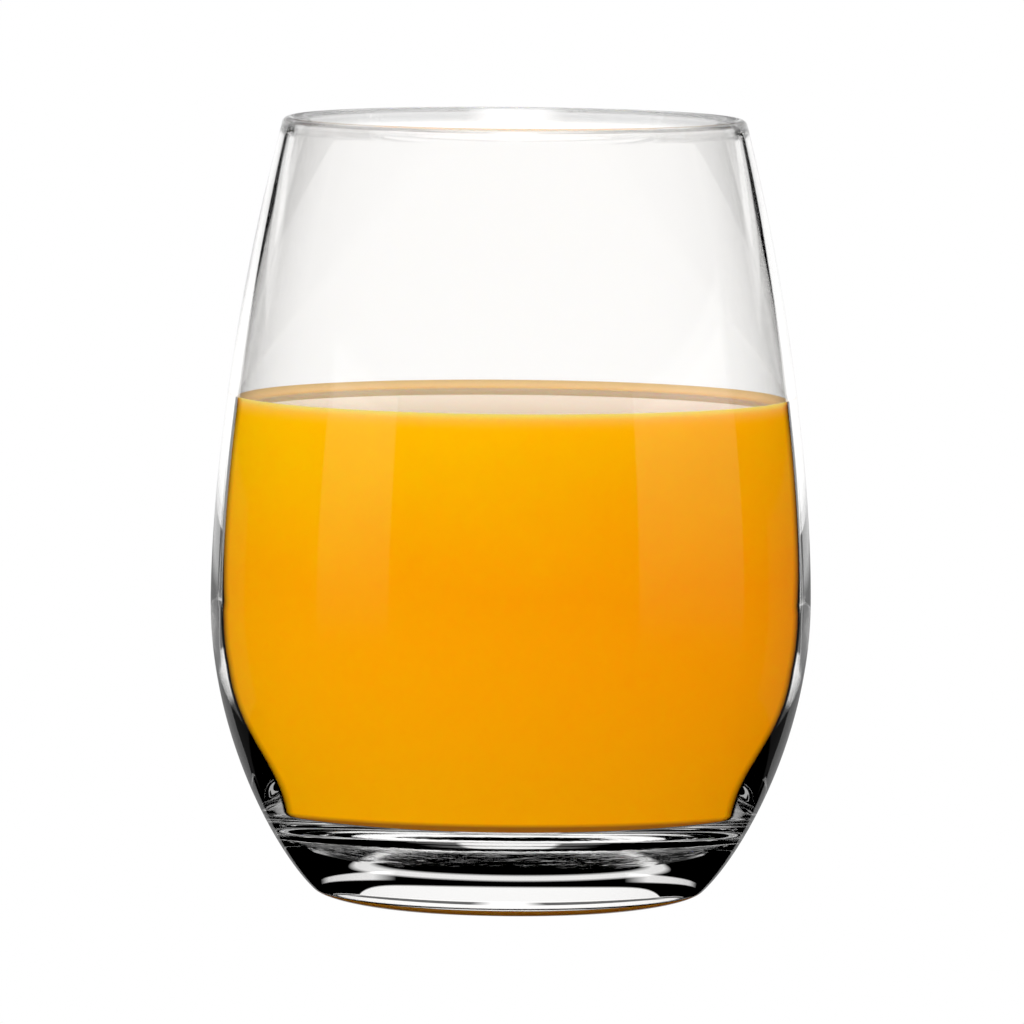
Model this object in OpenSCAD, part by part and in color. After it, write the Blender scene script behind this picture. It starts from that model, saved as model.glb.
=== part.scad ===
// Stemless tumbler, a little over half full of orange juice.
// Millimetres. +Z is up, along the axis of the glass, and the origin is the
// centre of the underside, level with the ring that the glass stands on.
// Glass and juice are both solids of revolution: each outline below is half
// of a section, with [radius, height] points.

/* [Glass outline] */
// Height of the glass
glass_h = 110; // [105:0.5:115]
// Outer radius of the rim
rim_r = 32.55; // [31:0.05:34]
// Outer radius of the belly, where the glass is widest
belly_r = 42.05; // [41:0.05:43]
// Height of the widest place
belly_z = 42.2; // [40:0.1:45]

/* [Glass foot] */
// Radius where the side of the bowl ends and the rounded edge of the foot begins
foot_r = 27.3; // [26.5:0.1:28]
// Height of that place
foot_z = 1.8; // [1.5:0.1:2.2]
// Outer radius of the flat ring that the glass stands on
stand_r = 21; // [20:0.1:22]
// Width of that ring
stand_w = 2.5; // [2:0.1:4]
// Depth of the shallow hollow under the foot
punt_depth = 1.2; // [0.6:0.1:2.5]

/* [Glass wall] */
// Thickness at the rim
wall_rim = 1.95; // [1.6:0.05:2.4]
// Thickness halfway between rim and belly
wall_side = 1.3; // [1.1:0.05:1.6]
// Thickness at the belly
wall_belly = 1.5; // [1.3:0.05:2]
// Height of the floor inside the glass
floor_z = 11; // [9.5:0.1:12]
// Radius of the flat part of that floor
floor_r = 26; // [24:0.1:27]

/* [Juice] */
// Height of the juice's level surface
level_z = 70; // [55:0.5:90]
// How far the surface climbs where it meets the glass
meniscus_h = 1.1; // [0.5:0.1:1.5]
// Width of that climb
meniscus_w = 2.6; // [1.5:0.1:4]

/* [Hidden] */

round_fn = 128;    // facets of a turned surface in a preview
long_steps = 22;   // points along the tall curves
short_steps = 10;  // points along the small curves

function unit(v) = v / norm(v);

// Cubic Bezier curve from a to d, without its first point
function curve(a, b, c, d, steps) = [
    for (i = [1:steps])
        let (t = i / steps, u = 1 - t)
        u * u * u * a + 3 * u * u * t * b + 3 * u * t * t * c + t * t * t * d
];

// The outline leaves each of these points in the direction beside it
belly = [belly_r, belly_z];
foot_edge = [foot_r, foot_z];
stand_edge = [stand_r, 0];
up_the_bowl = unit([1.08, 1]);

// The rim is rounded over: the wall's straight sides stop short of the top
rim_round_h = 0.9;
rim_z = glass_h - rim_round_h;
rim_outer = [rim_r, rim_z];
rim_inner = [rim_r - wall_rim, rim_z];
into_rim = unit([-0.26, 1]);

// Outside of the glass
foot_side = curve(stand_edge, stand_edge + [0.1, 0],
                  foot_edge - 1.7 * up_the_bowl, foot_edge, short_steps);
lower_side = curve(foot_edge, foot_edge + 7 * up_the_bowl,
                   belly - [0, 19], belly, long_steps);
upper_side = curve(belly, belly + [0, 12.3],
                   rim_outer - 29.7 * into_rim, rim_outer, long_steps);
rim_top = [
    for (i = [1:short_steps])
        let (turn = 180 * i / short_steps)
        rim_inner + [wall_rim * (1 + cos(turn)) / 2, rim_round_h * sin(turn)]
];

// The underside: a flat ring round a hollow
punt_r = stand_r - stand_w;
punt = curve([0, punt_depth], [punt_r / 2, punt_depth],
             [punt_r - 3, 0.25], [punt_r, 0], short_steps);

// Inside of the glass. Up the side its wall follows the outside, at a
// thickness that changes smoothly from belly to rim.
corner_top = [31.8, floor_z + 3.2];
above_corner = unit([0.58, 1]);
inner_belly = belly - [wall_belly, 0];
floor_corner = curve([floor_r, floor_z], [floor_r + 2.6, floor_z],
                     corner_top - 2.4 * above_corner, corner_top, short_steps);
inner_lower = curve(corner_top, corner_top + 9 * above_corner,
                    inner_belly - [0, 14], inner_belly, long_steps);
wall_pull = 2 * wall_side - (wall_belly + wall_rim) / 2;
function upper_wall(t) = (1 - t) * (1 - t) * wall_belly
    + 2 * t * (1 - t) * wall_pull + t * t * wall_rim;
inner_upper = [
    for (i = [0:long_steps - 1])
        upper_side[i] - [upper_wall((i + 1) / long_steps), 0]
];
inner_side = concat(inner_lower, inner_upper);

// Where the surface of the juice meets the glass
contact_z = level_z + meniscus_h;
contact_r = lookup(contact_z, [for (p = inner_side) [p[1], p[0]]]);

// Solid glass out to its surface
module glass_outline() {
    polygon(concat([[0, punt_depth]], punt, [stand_edge], foot_side,
                   lower_side, upper_side, rim_top, [[0, rim_z]]));
}

// The space inside, from the floor to above the rim
module cavity_outline() {
    polygon(concat([[0, floor_z], [floor_r, floor_z]], floor_corner, inner_side,
                   [[rim_inner[0], glass_h + 1], [0, glass_h + 1]]));
}

// Everything below the surface of the juice, past the wall of the glass
module surface_outline() {
    meniscus = curve([contact_r - meniscus_w, level_z],
                     [contact_r - meniscus_w / 3, level_z],
                     [contact_r - 0.1, level_z + meniscus_h / 3],
                     [contact_r, contact_z], short_steps);
    polygon(concat([[0, 0], [belly_r, 0], [belly_r, contact_z]],
                   [for (i = [short_steps - 1:-1:0]) meniscus[i]],
                   [[contact_r - meniscus_w, level_z], [0, level_z]]));
}

module glass() {
    color([0.88, 0.91, 0.92, 0.4])
    rotate_extrude($fn = round_fn)
    difference() {
        glass_outline();
        cavity_outline();
    }
}

module juice() {
    color([0.98, 0.64, 0.02])
    rotate_extrude($fn = round_fn)
    intersection() {
        cavity_outline();
        surface_outline();
    }
}

glass();
juice();
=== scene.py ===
"""A stemless tumbler of orange juice, a little over half full."""

import math

import bmesh
import bpy
from mathutils import Matrix, Vector


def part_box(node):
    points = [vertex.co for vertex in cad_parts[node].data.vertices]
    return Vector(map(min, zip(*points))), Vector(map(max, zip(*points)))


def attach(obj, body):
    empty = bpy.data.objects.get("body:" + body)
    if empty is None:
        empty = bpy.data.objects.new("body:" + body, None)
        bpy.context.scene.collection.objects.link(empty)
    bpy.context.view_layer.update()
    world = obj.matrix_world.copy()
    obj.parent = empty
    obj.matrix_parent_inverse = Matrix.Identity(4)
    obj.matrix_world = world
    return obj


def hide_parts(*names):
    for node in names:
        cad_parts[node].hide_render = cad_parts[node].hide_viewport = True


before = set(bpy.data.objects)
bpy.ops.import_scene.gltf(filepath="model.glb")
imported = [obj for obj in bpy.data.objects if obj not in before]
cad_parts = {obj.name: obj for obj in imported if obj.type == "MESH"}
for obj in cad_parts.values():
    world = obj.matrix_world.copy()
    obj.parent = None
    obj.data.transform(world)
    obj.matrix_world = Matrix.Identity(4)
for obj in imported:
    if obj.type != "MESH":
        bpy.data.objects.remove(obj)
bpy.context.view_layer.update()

MM = 0.001
GLASS_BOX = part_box("glass")
JUICE_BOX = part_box("juice")
GLASS_H = GLASS_BOX[1].z
BELLY_R = min(GLASS_BOX[1].x, GLASS_BOX[1].y)
CONTACT_Z = JUICE_BOX[1].z
GLASS_IOR = 1.5
JUICE_IOR = 1.34
INTO_WALL = 0.1 * MM  # how far the juice reaches into the wall and the floor


# ---- outlines: half sections as (radius, height), in metres ----

def point(r_mm, z_mm):
    return Vector((r_mm, z_mm)) * MM


def heading(slope):
    """Unit vector that climbs, leaning outwards by slope."""
    return Vector((slope, 1.0)).normalized()


def curve(a, b, c, d, steps):
    """Points of a cubic Bezier curve, without the first."""
    points = []
    for i in range(1, steps + 1):
        t = i / steps
        u = 1 - t
        points.append(u**3 * a + 3 * u * u * t * b + 3 * u * t * t * c + t**3 * d)
    return points


TALL_STEPS = 60
SMALL_STEPS = 16

BELLY = Vector((BELLY_R, 42.2 * MM))
FOOT_EDGE = point(27.3, 1.8)
STAND = point(21, 0)
PUNT_EDGE = point(18.5, 0)
PUNT_TOP = point(0, 1.2)
RIM_ROUND = 0.9 * MM
WALL_RIM = 1.95 * MM
WALL_SIDE = 1.3 * MM
WALL_BELLY = 1.5 * MM
RIM_OUTER = Vector((32.55 * MM, GLASS_H - RIM_ROUND))
FLOOR_EDGE = point(26, 11)
CORNER_TOP = point(31.8, 14.2)


def outside():
    """From the stand ring up the outside to the rim's outer edge."""
    up_the_bowl = heading(1.08)
    foot = curve(STAND, STAND + point(0.1, 0), FOOT_EDGE - 1.7 * MM * up_the_bowl,
                 FOOT_EDGE, SMALL_STEPS)
    lower = curve(FOOT_EDGE, FOOT_EDGE + 7 * MM * up_the_bowl, BELLY - point(0, 19),
                  BELLY, TALL_STEPS)
    into_rim = RIM_OUTER - 29.7 * MM * heading(-0.26)
    upper = curve(BELLY, BELLY + point(0, 12.3), into_rim, RIM_OUTER, TALL_STEPS)
    return foot, lower, upper


def inside(upper):
    """From the floor's edge up the inside to the rim's inner edge."""
    below = CORNER_TOP - 2.4 * MM * heading(0.58)
    above = CORNER_TOP + 9 * MM * heading(0.58)
    inner_belly = BELLY - Vector((WALL_BELLY, 0))
    corner = curve(FLOOR_EDGE, FLOOR_EDGE + point(2.6, 0), below, CORNER_TOP, SMALL_STEPS)
    lower = curve(CORNER_TOP, above, inner_belly - point(0, 14), inner_belly, TALL_STEPS)
    pull = 2 * WALL_SIDE - (WALL_BELLY + WALL_RIM) / 2
    side = []
    for i, p in enumerate(upper):
        t = (i + 1) / len(upper)
        wall = (1 - t) ** 2 * WALL_BELLY + 2 * t * (1 - t) * pull + t * t * WALL_RIM
        side.append(p - Vector((wall, 0)))
    return corner + lower + side


def radius_at(outline, z):
    """Radius of a rising outline at height z."""
    for a, b in zip(outline, outline[1:]):
        if a.y <= z <= b.y:
            return a.x + (b.x - a.x) * (z - a.y) / (b.y - a.y)
    return outline[-1].x


def glass_outline():
    foot, lower, upper = outside()
    punt = curve(PUNT_TOP, PUNT_TOP + point(9.25, 0), PUNT_EDGE + point(-3, 0.25),
                 PUNT_EDGE, 2 * SMALL_STEPS)
    rim_inner = RIM_OUTER - Vector((WALL_RIM, 0))
    rim = []
    for i in range(1, SMALL_STEPS):
        turn = math.pi * i / SMALL_STEPS
        across = WALL_RIM * (1 + math.cos(turn)) / 2
        rim.append(rim_inner + Vector((across, RIM_ROUND * math.sin(turn))))
    well = list(reversed(inside(upper))) + [FLOOR_EDGE]
    floor = [FLOOR_EDGE * (1 - i / SMALL_STEPS) for i in range(1, SMALL_STEPS + 1)]
    floor = [Vector((p.x, FLOOR_EDGE.y)) for p in floor]
    return [PUNT_TOP] + punt + [STAND] + foot + lower + upper + rim + well + floor


# ---- meshes ----

def turned(name, outline, segments, part_of):
    """A closed solid of revolution. part_of gives a face's material by its row."""
    mesh = bpy.data.meshes.new(name)
    work = bmesh.new()
    rings = []
    for p in outline:
        if p.x < 1e-7:
            rings.append([work.verts.new((0, 0, p.y))] * segments)
            continue
        ring = []
        for i in range(segments):
            a = 2 * math.pi * i / segments
            ring.append(work.verts.new((p.x * math.cos(a), p.x * math.sin(a), p.y)))
        rings.append(ring)
    for row, (low, high) in enumerate(zip(rings, rings[1:])):
        for i in range(segments):
            j = (i + 1) % segments
            corners = []
            for v in (low[i], low[j], high[j], high[i]):
                if v not in corners:
                    corners.append(v)
            face = work.faces.new(corners)
            face.material_index = part_of(row)
            face.smooth = True
    bmesh.ops.recalc_face_normals(work, faces=work.faces)
    work.to_mesh(mesh)
    work.free()
    mesh.set_sharp_from_angle(angle=math.radians(28))
    piece = bpy.data.objects.new(name, mesh)
    bpy.context.scene.collection.objects.link(piece)
    return piece


# ---- materials ----

class Nodes:
    """Short way to build a node tree."""

    def __init__(self, tree):
        self.tree = tree
        tree.nodes.clear()

    def add(self, kind, links=None, **settings):
        node = self.tree.nodes.new(kind)
        for key, value in settings.items():
            setattr(node, key, value)
        for key, value in (links or {}).items():
            if isinstance(value, bpy.types.NodeSocket):
                self.tree.links.new(value, node.inputs[key])
            else:
                node.inputs[key].default_value = value
        return node

    def math(self, operation, a, b=0.0):
        return self.add("ShaderNodeMath", {0: a, 1: b}, operation=operation).outputs[0]

    def place(self):
        """Where the point is on its object, whole and split into axes."""
        whole = self.add("ShaderNodeTexCoord").outputs["Object"]
        return whole, self.add("ShaderNodeSeparateXYZ", {0: whole}).outputs

    def radius(self, axes):
        """Distance from the upright axis."""
        flat = self.add("ShaderNodeCombineXYZ", {0: axes["X"], 1: axes["Y"]})
        length = self.add("ShaderNodeVectorMath", {0: flat.outputs[0]}, operation="LENGTH")
        return length.outputs["Value"]

    def noise(self, where, scale, detail):
        links = {"Vector": where, "Scale": scale, "Detail": detail}
        return self.add("ShaderNodeTexNoise", links).outputs["Fac"]

    def relief(self, where, scale, detail, depth_mm):
        return self.math("MULTIPLY", self.noise(where, scale, detail), depth_mm)

    def ramp(self, value, start, end, low=0.0, high=1.0):
        """low before start, high past end, and a straight slope between."""
        links = {"Value": value, "From Min": start, "From Max": end,
                 "To Min": low, "To Max": high}
        return self.add("ShaderNodeMapRange", links).outputs[0]

    def number(self, share, first, second):
        """first, or second where share is 1."""
        return self.add("ShaderNodeMix", {0: share, 2: first, 3: second}).outputs[0]

    def colour(self, share, first, second, blend="MIX"):
        mix = self.add("ShaderNodeMix", {0: share, 6: first, 7: second},
                       data_type="RGBA", blend_type=blend)
        return mix.outputs[2]

    def shader(self, share, first, second):
        links = {0: share, 1: first.outputs[0], 2: second.outputs[0]}
        return self.add("ShaderNodeMixShader", links)

    def bump(self, height_mm):
        links = {"Strength": 1.0, "Distance": MM, "Height": height_mm}
        return self.add("ShaderNodeBump", links).outputs[0]


def new_material(name):
    material = bpy.data.materials.new(name)
    material.use_nodes = True
    return material, Nodes(material.node_tree)


# Relief: scale and detail of its noise, and depth in millimetres
GLASS_WAVES = (55.0, 1.0, 0.02)
MOULD_MARKS = (260.0, 4.0, 0.1)
FLOOR_RIPPLES = (200.0, 6.0, 0.25)

CLEAR_GLASS = (0.99, 0.984, 0.976, 1)
# The rim draws fainter lines than the wall does: this share of it is plain clear
RIM_CLEAR = 0.55
RIM_FROM = GLASS_H - 2.2 * MM
RIM_FULL = GLASS_H - 1.2 * MM
PUNT_BELOW = 1.3 * MM  # the hollow under the foot is all lower than this


def glass_material():
    """Clear glass, faintly wavy, with mould marks in the hollow under the foot.

    Light for the juice passes straight through it.
    """
    material, n = new_material("clear_glass")
    where, axes = n.place()
    in_punt = n.math("MULTIPLY", n.math("LESS_THAN", axes["Z"], PUNT_BELOW),
                     n.math("LESS_THAN", n.radius(axes), PUNT_EDGE.x))
    relief = n.number(in_punt, n.relief(where, *GLASS_WAVES), n.relief(where, *MOULD_MARKS))
    glass = n.add("ShaderNodeBsdfPrincipled", {
        "Base Color": CLEAR_GLASS, "Roughness": 0.0, "IOR": GLASS_IOR,
        "Transmission Weight": 1.0, "Normal": n.bump(relief)})
    straight = n.add("ShaderNodeBsdfTransparent")
    rim = n.ramp(axes["Z"], RIM_FROM, RIM_FULL, 0.0, RIM_CLEAR)
    body = n.shader(rim, glass, straight)
    ray = n.add("ShaderNodeLightPath").outputs
    mix = n.shader(ray["Is Diffuse Ray"], body, straight)
    n.add("ShaderNodeOutputMaterial", {"Surface": mix.outputs[0]})
    return material


# The juice's colours, and the share of its height where the middle one is. The change of
# colour with height is painted light, yellowest at the top where light falls from above
JUICE_BOTTOM = (0.90, 0.43, 0.001, 1)
JUICE_MIDDLE = (0.95, 0.39, 0.001, 1)
JUICE_TOP = (0.95, 0.53, 0.001, 1)
JUICE_MIDDLE_AT = 0.6
JUICE_HEIGHTS = (11 * MM, 71 * MM)
JUICE_IN_SHADE = (1.0, 0.78, 1.0, 1)   # multiplies the colours away from the light
JUICE_AT_WALL = (0.93, 0.43, 0.19, 1)  # just below the edge of the surface
JUICE_CLIMB = (0.88, 0.60, 0.32, 1)    # where the surface climbs the wall
JUICE_FOOT_SHADE = (0.22, 0.07, 0.01, 1)     # painted brown shade along the foot, and over the floor
# Painted reflection: the flat grey that the surface shows to rays that have bounced often
JUICE_MIRRORED = (0.42, 0.42, 0.41, 1)
BLACK = (0, 0, 0, 1)
# Rays that have bounced more often than this don't see the juice's own colour. They see a
# painted reflection instead: black on the side, grey on the surface
DEEP_RAY = 2.5
AT_WALL_H = 2.8 * MM
# How suddenly a colour comes in
SHADE_CURVE = 2.2
AT_WALL_CURVE = 3.0
# Clouds of pulp: scale and detail of their noise, and how far they shift a colour
PULP_CLOUDS = (60.0, 3.0)
CLOUD_DRIFT = 12 * MM
# How deep light goes into the juice, in metres
JUICE_DEPTH = 0.004


def juice_colour(n):
    """Orange, deeper towards the bottom, with faint clouds of pulp. The change of colour
    with height is painted light, yellowest at the top where light falls from above.
    """
    where, axes = n.place()
    cloud = n.math("SUBTRACT", n.noise(where, *PULP_CLOUDS), 0.5)
    height = n.math("ADD", axes["Z"], n.math("MULTIPLY", cloud, CLOUD_DRIFT))
    # Painted light: colour by height, yellowest at the top where light falls from above
    ramp = n.add("ShaderNodeValToRGB", {"Fac": n.ramp(height, *JUICE_HEIGHTS)})
    stops = ramp.color_ramp.elements
    stops[0].position, stops[0].color = 0.0, JUICE_BOTTOM
    stops[1].position, stops[1].color = 1.0, JUICE_TOP
    stops.new(JUICE_MIDDLE_AT).color = JUICE_MIDDLE
    shade = n.math("POWER", n.ramp(axes["X"], -BELLY_R, BELLY_R), SHADE_CURVE)
    shaded = n.colour(shade, ramp.outputs["Color"], JUICE_IN_SHADE, "MULTIPLY")
    near_top = n.ramp(axes["Z"], CONTACT_Z - AT_WALL_H, CONTACT_Z)
    return n.colour(n.math("POWER", near_top, AT_WALL_CURVE), shaded, JUICE_AT_WALL)


def juice_shader(n, colour, roughness, shine):
    return n.add("ShaderNodeBsdfPrincipled", {
        "Base Color": colour, "Roughness": roughness, "IOR": JUICE_IOR,
        "Specular IOR Level": shine, "Subsurface Weight": 1.0,
        "Subsurface Radius": (1.0, 0.5, 0.1), "Subsurface Scale": JUICE_DEPTH})


# Heights where the look of the juice's side changes
CORNER_MIRRORS_BELOW = 12.6 * MM
CORNER_ENDS = 14 * MM
FOOT_SHADE_ENDS = 14.6 * MM
SIDE_EVEN_ABOVE = 34 * MM
# Index of what is behind the wall, relative to glass, at the two ends of a stretch.
# A low one mirrors more, and the lower of the two stretches counts.
CORNER_INDEX = (0.35, 0.7)
SIDE_INDEX = (0.69, 1 / GLASS_IOR)
# Shares of light that the wall reflects, between which the juice's colour darkens to black
# as painted shade, and between which a mirror takes over
DARKENS = (0.28, 0.5)
MIRRORS = (0.6, 0.95)
# How much the painted brown shade along the foot and over the floor shows
FOOT_SHADE_SHARE = 0.85
# The floor's ripples show in its front part only
RIPPLES_FROM_Y = -7 * MM
RIPPLES_FULL_Y = -11 * MM


def index_behind_wall(n, axes, on_floor):
    side = n.ramp(axes["Z"], CORNER_ENDS, SIDE_EVEN_ABOVE, *SIDE_INDEX)
    corner = n.ramp(axes["Z"], CORNER_MIRRORS_BELOW, CORNER_ENDS, *CORNER_INDEX)
    return n.number(on_floor, n.math("MINIMUM", side, corner), JUICE_IOR / GLASS_IOR)


def juice_side_material():
    """Juice seen through the wall of the glass.

    Past the critical angle the wall mirrors, as clear glass does, and shows its
    own thickness. Up to there the juice's colour darkens to black, a painted
    shade, and a painted brown shade lies along its foot and over its floor.
    """
    material, n = new_material("juice_in_glass")
    where, axes = n.place()
    on_floor = n.math("LESS_THAN", axes["Z"], FLOOR_EDGE.y + INTO_WALL)
    fresnel = n.add("ShaderNodeFresnel", {"IOR": index_behind_wall(n, axes, on_floor)})
    ray = n.add("ShaderNodeLightPath").outputs
    # Painted shade: the juice's colour turns black towards the critical angle, and for rays
    # that have bounced often
    painted_dark = n.math("MAXIMUM", n.ramp(fresnel.outputs[0], *DARKENS),
                  n.math("GREATER_THAN", ray["Ray Depth"], DEEP_RAY))
    # Painted shade: brown along the juice's foot and over its floor
    foot_shade_line = n.math("MULTIPLY", n.ramp(axes["Z"], FOOT_SHADE_ENDS, CORNER_ENDS),
                       n.math("GREATER_THAN", axes["Z"], CORNER_MIRRORS_BELOW))
    foot_shade = n.math("MULTIPLY", n.math("MAXIMUM", foot_shade_line, on_floor), FOOT_SHADE_SHARE)
    colour = n.colour(painted_dark, n.colour(foot_shade, juice_colour(n), JUICE_FOOT_SHADE), BLACK)
    juice = juice_shader(n, colour, roughness=0.6, shine=0.0)
    front = n.ramp(axes["Y"], RIPPLES_FROM_Y, RIPPLES_FULL_Y)
    relief = n.math("MULTIPLY", n.math("MULTIPLY", front, on_floor),
                    n.relief(where, *FLOOR_RIPPLES))
    mirror = n.add("ShaderNodeBsdfGlossy", {"Color": (1, 1, 1, 1), "Roughness": 0.0,
                                            "Normal": n.bump(relief)})
    mix = n.shader(n.ramp(fresnel.outputs[0], *MIRRORS), juice, mirror)
    n.add("ShaderNodeOutputMaterial", {"Surface": mix.outputs[0]})
    return material


CLIMB_FROM_R = 35.5 * MM
CLIMB_FULL_R = 38 * MM
CLIMB_SHARE = 0.85


def juice_top_material():
    """The open surface, wet and shiny, and paler where it climbs the wall."""
    material, n = new_material("juice_surface")
    _, axes = n.place()
    climb = n.ramp(n.radius(axes), CLIMB_FROM_R, CLIMB_FULL_R, 0.0, CLIMB_SHARE)
    ray = n.add("ShaderNodeLightPath").outputs
    # Painted reflection: rays that have bounced often see the surface flat grey
    deep = n.math("GREATER_THAN", ray["Ray Depth"], DEEP_RAY)
    colour = n.colour(deep, n.colour(climb, juice_colour(n), JUICE_CLIMB), JUICE_MIRRORED)
    juice = juice_shader(n, colour, roughness=0.015, shine=0.5)
    pulp = n.add("ShaderNodeBsdfDiffuse", {"Color": colour})
    mix = n.shader(climb, juice, pulp)
    n.add("ShaderNodeOutputMaterial", {"Surface": mix.outputs[0]})
    return material


# ---- pieces ----

ROUND_STEPS = 256


def make_glass():
    piece = turned("tumbler", glass_outline(), ROUND_STEPS, lambda row: 0)
    piece.data.materials.append(glass_material())
    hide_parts("glass")
    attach(piece, "root")


MENISCUS_H = 1.1 * MM
MENISCUS_W = 2.6 * MM


def juice_side_outline(wall, contact_r):
    """From the middle of the floor up the wall, a hair into the glass."""
    side = [p for p in wall if p.y < CONTACT_Z] + [Vector((contact_r, CONTACT_Z))]
    body = [Vector((0, FLOOR_EDGE.y - INTO_WALL))]
    for i in range(1, SMALL_STEPS):
        body.append(Vector((FLOOR_EDGE.x * i / SMALL_STEPS, body[0].y)))
    for before, p, after in zip([body[-1]] + side, side, side[1:] + [side[-1]]):
        along = (after - before).normalized()
        body.append(p + INTO_WALL * Vector((along.y, -along.x)))
    body[-1].y = CONTACT_Z
    return body


def juice_top_outline(contact_r):
    """From the wall down its climb and over the level surface to the middle."""
    level = CONTACT_Z - MENISCUS_H
    climb = curve(Vector((contact_r - MENISCUS_W, level)),
                  Vector((contact_r - MENISCUS_W / 3, level)),
                  Vector((contact_r - 0.1 * MM, level + MENISCUS_H / 3)),
                  Vector((contact_r, CONTACT_Z)), SMALL_STEPS)
    surface = list(reversed(climb)) + [Vector((contact_r - MENISCUS_W, level))]
    for i in range(1, SMALL_STEPS + 1):
        surface.append(Vector((surface[len(climb)].x * (1 - i / SMALL_STEPS), level)))
    return surface


def make_juice():
    wall = [FLOOR_EDGE] + inside(outside()[2])
    contact_r = radius_at(wall, CONTACT_Z)
    side = juice_side_outline(wall, contact_r)
    rows_of_side = len(side) - 1
    piece = turned("juice_fill", side + juice_top_outline(contact_r), ROUND_STEPS,
                   lambda row: 1 if row >= rows_of_side else 0)
    piece.data.materials.append(juice_side_material())
    piece.data.materials.append(juice_top_material())
    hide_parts("juice")
    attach(piece, "root")


# ---- studio ----

FLOOR_RADIUS = 20.0
STUDIO_WHITE = 1.15


def window(n, value, span, blur):
    """1 between two values, 0 outside, with soft ends."""
    low, high = span
    off = n.math("ABSOLUTE", n.math("SUBTRACT", value, (low + high) / 2))
    half = (high - low) / 2
    return n.ramp(off, half + blur / 2, half - blur / 2)


def azimuth_of(n, axes):
    """Degrees from the front, positive to the right."""
    turn = n.math("ARCTAN2", axes["X"], n.math("MULTIPLY", axes["Y"], -1.0))
    return n.math("MULTIPLY", turn, 180 / math.pi)


# A ray through both walls has passed more surfaces than the first of these, and has
# bounced less often than the second or the third when it reaches the table or the room
BOTH_WALLS = 3.5
TO_TABLE = 4.5
TO_ROOM = 5.5


def seen_through(n, ray, most_bounces):
    """1 for what shows straight through both walls of the empty part of the glass."""
    return n.math("MULTIPLY",
                  n.math("GREATER_THAN", ray["Transmission Depth"], BOTH_WALLS),
                  n.math("LESS_THAN", ray["Ray Depth"], most_bounces))


def mirrored(n, ray):
    """1 for what shows by at least one reflection."""
    reflections = n.math("SUBTRACT", ray["Ray Depth"], ray["Transmission Depth"])
    return n.math("GREATER_THAN", reflections, 0.5)


# Dark cards on the table that draw the edges of the glass: from and to azimuth, to
# either side of the front, in degrees, and from and to distance in metres. The one
# in front shows only in reflections.
TABLE_CARDS = {
    "behind": ((150, 176), (0.22, 0.75)),
    "far_sides": ((118, 150), (0.3, 1.7)),
    "front": ((-5, 118), (0.115, 0.8)),
    "near_sides": ((30, 147), (0.045, 0.115)),
    "under_the_sides": ((18, 164), (0.0, 0.046)),
}
CARD_BLUR = (3.0, 0.02)


def table_cards(n, ray):
    """1 on the dark cards, but 0 for what shows straight through both walls."""
    where, axes = n.place()
    azimuth = n.math("ABSOLUTE", azimuth_of(n, axes))
    away = n.add("ShaderNodeVectorMath", {0: where}, operation="LENGTH").outputs["Value"]
    cards = 0.0
    for name, (azimuths, distances) in TABLE_CARDS.items():
        card = n.math("MULTIPLY", window(n, azimuth, azimuths, CARD_BLUR[0]),
                      window(n, away, distances, CARD_BLUR[1]))
        if name == "front":
            card = n.math("MULTIPLY", card, mirrored(n, ray))
        cards = n.math("MAXIMUM", cards, card)
    return n.math("MULTIPLY", cards, n.math("SUBTRACT", 1.0, seen_through(n, ray, TO_TABLE)))


def make_floor():
    """A white table that glows, and that only shows directly and through the glass."""
    mesh = bpy.data.meshes.new("studio_floor")
    work = bmesh.new()
    bmesh.ops.create_circle(work, cap_ends=True, radius=FLOOR_RADIUS, segments=96)
    work.to_mesh(mesh)
    work.free()
    floor = bpy.data.objects.new("studio_floor", mesh)
    bpy.context.scene.collection.objects.link(floor)
    material, n = new_material("studio_white")
    ray = n.add("ShaderNodeLightPath").outputs
    around = n.math("SUBTRACT", STUDIO_WHITE, table_cards(n, ray))
    white = n.number(ray["Is Camera Ray"], around, 1.0)
    glow = n.add("ShaderNodeEmission", {"Color": (1, 1, 1, 1), "Strength": white})
    n.add("ShaderNodeOutputMaterial", {"Surface": glow.outputs[0]})
    floor.data.materials.append(material)
    floor.visible_glossy = False
    floor.visible_diffuse = False
    material.cycles.emission_sampling = "NONE"


# Each light of the studio as seen from the glass: from and to azimuth, in degrees to
# the right of the front, from and to elevation, and strength
STUDIO_LIGHTS = {
    "left_softbox": ((-80, -47.6), (-18, 10.5), 2.8),
    "right_softbox": ((50.3, 101.2), (-18, 10.5), 2.8),
    "backdrop": ((148, 213), (-0.8, 4.1), 1.32),
    "far_table": ((154, 206), (-4, -0.8), STUDIO_WHITE),
    "table_behind": ((154, 206), (-14, -4), 0.35),
    "right_side_of_table": ((117.6, 154), (-16, 0), 0.04),
    "left_side_of_table": ((206, 236), (-16, 0), 0.04),
    "right_of_ring": ((132, 156), (5.7, 8.5), STUDIO_WHITE),
    "left_of_ring": ((205, 229), (5.7, 8.5), STUDIO_WHITE),
    "ceiling_behind": ((150, 210), (17.5, 60), 0.8),
    "ceiling": ((-400, 400), (38, 100), 1.0),
}
# How soft the ends of the lights are, in degrees: across, across beside the ring
# light, and up
ENDS_ACROSS = 1.0
ENDS_BESIDE_RING = 6.0
ENDS_UP = 0.5
# Azimuth of the middle of the backdrop and of the ring light
MIDDLE_BEHIND = 180.5
# The backdrop bends down towards its ends: half its width, how suddenly, and how far.
# The ceiling behind bends up, this many times as far.
BACKDROP_HALF = 32.5
BACKDROP_CURVE = 9.0
BACKDROP_DROOP = 4.4
CEILING_RISE = 3.0
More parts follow.
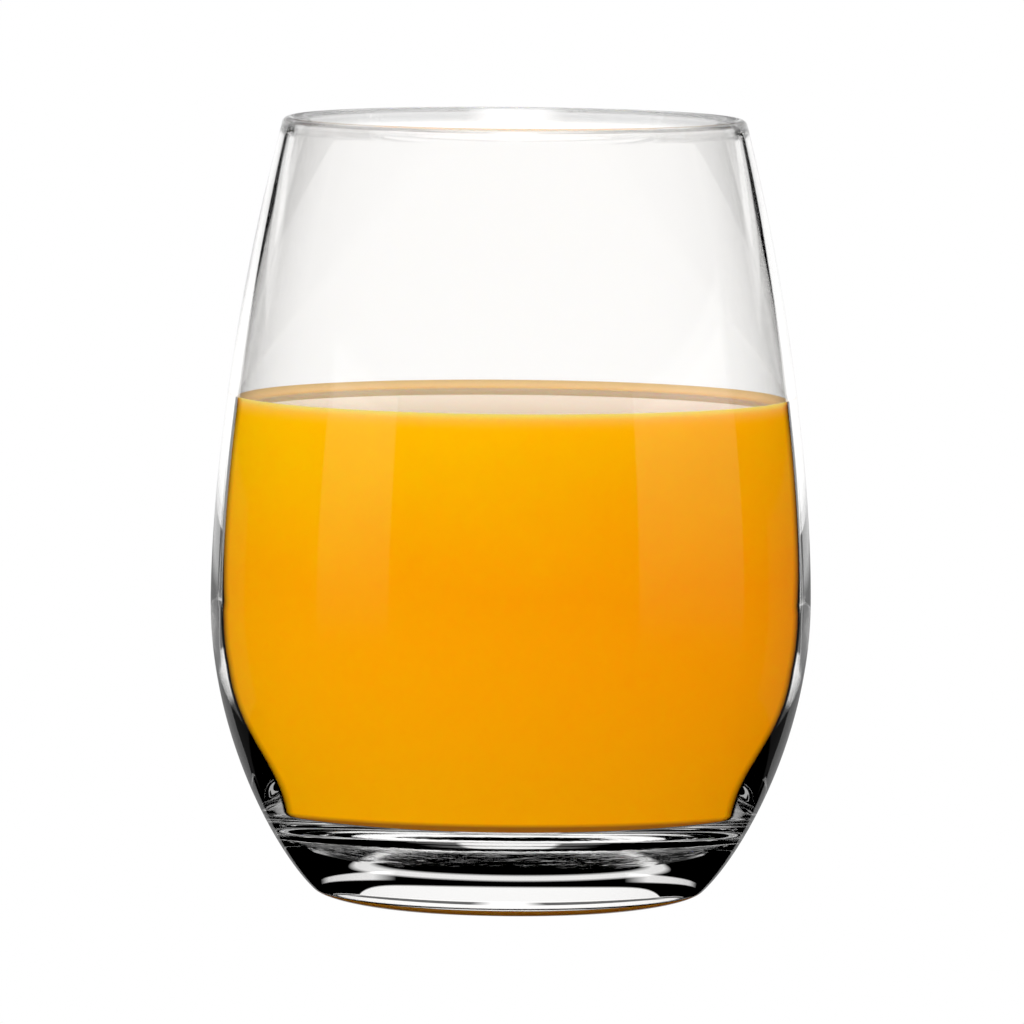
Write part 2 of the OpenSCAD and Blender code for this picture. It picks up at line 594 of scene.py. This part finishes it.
# Softboxes strengthen from the first of these elevations to the second
SOFTBOX_FADE = (-18.0, 24.0)
SOFTBOX_CURVE = 3.0
# The ring light: elevation of its middle, half its inner width and height, and how
# far out it reaches, its inner edge being 1
RING_UP = 12.2
RING_HALF = (28, 5.2)
RING_BAND = (1.0, 1.25)
RING_BLUR = 0.1
# What shows through the empty glass, and how far round it shows through one wall
SEEN_THROUGH = 1.3
WHITE_BEHIND = (128, 232)
WHITE_BLUR = 16.0
# Strength of all that doesn't show directly
STUDIO_DIMMED = 0.8
# The even light on the juice, and where more of it comes from
FILL = 1.15
MORE_FILL_FROM = Vector((-0.12, -0.33, 0.35))


def ring_light(n, off_middle, elevation):
    across = n.math("DIVIDE", off_middle, RING_HALF[0])
    up = n.math("DIVIDE", n.math("SUBTRACT", elevation, RING_UP), RING_HALF[1])
    away = n.math("SQRT", n.math("ADD", n.math("POWER", across, 2.0),
                                 n.math("MULTIPLY", up, up)))
    return n.math("MULTIPLY", window(n, away, RING_BAND, RING_BLUR), STUDIO_WHITE)


def studio_lights(n, azimuth, round_the_back, elevation):
    """The lights on a black room, by direction."""
    off_middle = n.math("ABSOLUTE", n.math("SUBTRACT", round_the_back, MIDDLE_BEHIND))
    to_end = n.math("DIVIDE", off_middle, BACKDROP_HALF)
    droop = n.math("MULTIPLY", n.math("POWER", to_end, BACKDROP_CURVE), BACKDROP_DROOP)
    bent = {"backdrop": n.math("ADD", elevation, droop),
            "ceiling_behind": n.math("SUBTRACT", elevation,
                                     n.math("MULTIPLY", droop, CEILING_RISE))}
    fade = n.math("POWER", n.ramp(elevation, *SOFTBOX_FADE), SOFTBOX_CURVE)
    shown = ring_light(n, off_middle, elevation)
    for name, (azimuths, elevations, strength) in STUDIO_LIGHTS.items():
        turned_to = round_the_back if azimuths[1] > 180 else azimuth
        ends = ENDS_BESIDE_RING if "ring" in name else ENDS_ACROSS
        across = window(n, turned_to, azimuths, ends)
        up = window(n, bent.get(name, elevation), elevations, ENDS_UP)
        if "softbox" in name:
            up = n.math("MULTIPLY", up, fade)
        lit = n.math("MULTIPLY", n.math("MULTIPLY", across, up), strength)
        shown = n.math("ADD", lit, shown)
    return shown


def make_world():
    """The studio: lights that show through and in the glass, and an even light that
    fills. What shows directly is white.
    """
    world = bpy.data.worlds.new("studio")
    world.use_nodes = True
    world.cycles.sampling_method = "NONE"
    bpy.context.scene.world = world
    n = Nodes(world.node_tree)
    direction = n.add("ShaderNodeTexCoord").outputs["Generated"]
    axes = n.add("ShaderNodeSeparateXYZ", {0: direction}).outputs
    azimuth = azimuth_of(n, axes)
    round_the_back = n.math("MODULO", n.math("ADD", azimuth, 360.0), 360.0)
    elevation = n.math("MULTIPLY", n.math("ARCSINE", axes["Z"]), 180 / math.pi)
    ray = n.add("ShaderNodeLightPath").outputs
    through_one_wall = n.math("MULTIPLY", n.math("SUBTRACT", 1.0, mirrored(n, ray)),
                              window(n, round_the_back, WHITE_BEHIND, WHITE_BLUR))
    clear = n.math("MAXIMUM", seen_through(n, ray, TO_ROOM), through_one_wall)
    lights = studio_lights(n, azimuth, round_the_back, elevation)
    shown = n.number(clear, lights, SEEN_THROUGH)
    lean = n.add("ShaderNodeVectorMath", {0: direction, 1: MORE_FILL_FROM},
                 operation="DOT_PRODUCT")
    fill = n.math("ADD", lean.outputs["Value"], FILL)
    fills = n.math("GREATER_THAN", ray["Diffuse Depth"], 0.5)
    around = n.math("MULTIPLY", n.number(fills, shown, fill), STUDIO_DIMMED)
    seen = n.number(ray["Is Camera Ray"], around, 1.0)
    back = n.add("ShaderNodeBackground", {"Color": (1, 1, 1, 1), "Strength": seen})
    n.add("ShaderNodeOutputWorld", {"Surface": back.outputs[0]})


CAMERA_AT = (0.07 * MM, -2.1, 0.21206)
CAMERA_PITCH = 4.284  # degrees down
CAMERA_ROLL = 0.5
CAMERA_LENS = 528.7


def make_camera():
    camera = bpy.data.objects.new("camera", bpy.data.cameras.new("camera"))
    bpy.context.scene.collection.objects.link(camera)
    pitch, roll = math.radians(CAMERA_PITCH), math.radians(CAMERA_ROLL)
    camera.matrix_world = (Matrix.Translation(CAMERA_AT)
                           @ Matrix.Rotation(math.pi / 2 - pitch, 4, "X")
                           @ Matrix.Rotation(roll, 4, "Z"))
    camera.data.sensor_width = 36.0
    camera.data.lens = CAMERA_LENS
    bpy.context.scene.camera = camera


def set_rendering():
    scene = bpy.context.scene
    scene.view_settings.view_transform = "Standard"
    scene.cycles.transmission_bounces = 24
    scene.cycles.glossy_bounces = 12
    scene.cycles.max_bounces = 32


make_glass()
make_juice()
make_floor()
make_world()
make_camera()
set_rendering()
